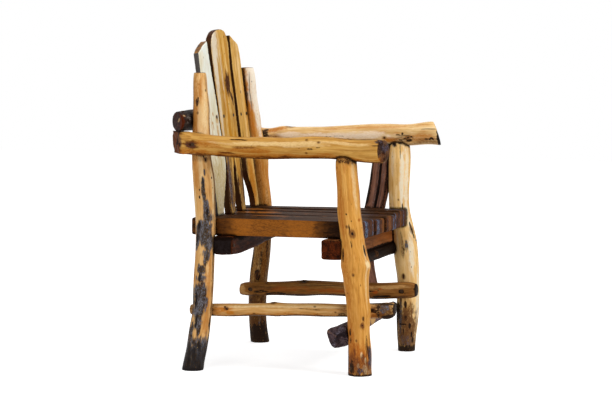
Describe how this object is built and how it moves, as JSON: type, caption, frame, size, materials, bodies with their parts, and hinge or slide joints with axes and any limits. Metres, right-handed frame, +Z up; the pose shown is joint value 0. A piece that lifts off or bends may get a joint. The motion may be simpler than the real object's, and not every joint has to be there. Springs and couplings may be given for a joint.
{
  "type": "twig chair",
  "caption": "Rustic armchair of bent peeled logs with a plank seat, wide back boards nailed to a round rail, log arms and stick stretchers.",
  "frame": {"origin": "on the floor, in the middle of the chair's outer box", "axes": "+Z up; the sitter faces -Y; -X is the sitter's right"},
  "size_m": [0.6408, 0.6592, 0.9458],
  "materials": {
    "streaked_log": "peeled log, golden-orange varnish with grey-black stain streaks, satin",
    "brown_log": "peeled log, orange-brown varnish, pale towards its top, satin",
    "golden_log": "peeled log, golden-orange varnish, satin",
    "pale_log": "peeled log, pale straw varnish, satin",
    "golden_arm": "peeled log, golden varnish, grey weathered end grain, satin",
    "pale_arm": "peeled log, yellow to pinkish varnish, satin",
    "bark_rail": "dark bark with a red-brown sawn end, satin",
    "cream_board": "sawn board, pale cream face with dark waney edges, satin",
    "tan_board": "sawn board, streaked tan and orange face with dark waney edges, satin",
    "golden_board": "sawn board, golden face with dark waney edges, satin",
    "seat_wood": "polished dark brown planks with orange-brown edges, gloss",
    "bearer_wood": "squared brown timber, satin",
    "dark_stick": "dark round stick, satin",
    "tan_stick": "peeled stick, light golden tan varnish, satin",
    "brown_stick": "peeled stick, brown varnish, satin",
    "bark_stick": "dark grey-purple bark, matt to satin",
    "dark_branch": "dark brown-purple branch, satin",
    "nail_steel": "dark oxidised wire nails"
  },
  "bodies": {
    "root": {"rear_leg_right": "streaked_log", "rear_leg_left": "brown_log", "front_leg_right": "golden_log", "front_leg_left": "pale_log", "arm_right": "golden_arm", "arm_left": "pale_arm", "back_rail": "bark_rail", "back_slat_right": "cream_board", "back_slat_centre": "tan_board", "back_slat_left": "golden_board", "seat_plank_1": "seat_wood", "seat_plank_2": "seat_wood", "seat_plank_3": "seat_wood", "seat_plank_4": "seat_wood", "seat_plank_5": "seat_wood", "front_seat_bearer": "bearer_wood", "rear_seat_bearer": "bearer_wood", "front_cross_log": "dark_stick", "side_stretcher_right": "tan_stick", "side_stretcher_left": "brown_stick", "low_stretcher": "bark_stick", "left_brace": "dark_branch", "slat_nails": "nail_steel", "seat_nails": "nail_steel", "arm_nails": "nail_steel", "rail_nails": "nail_steel", "stretcher_nails": "nail_steel", "bearer_nails": "nail_steel", "brace_nails": "nail_steel"}
  },
  "joints": []
}
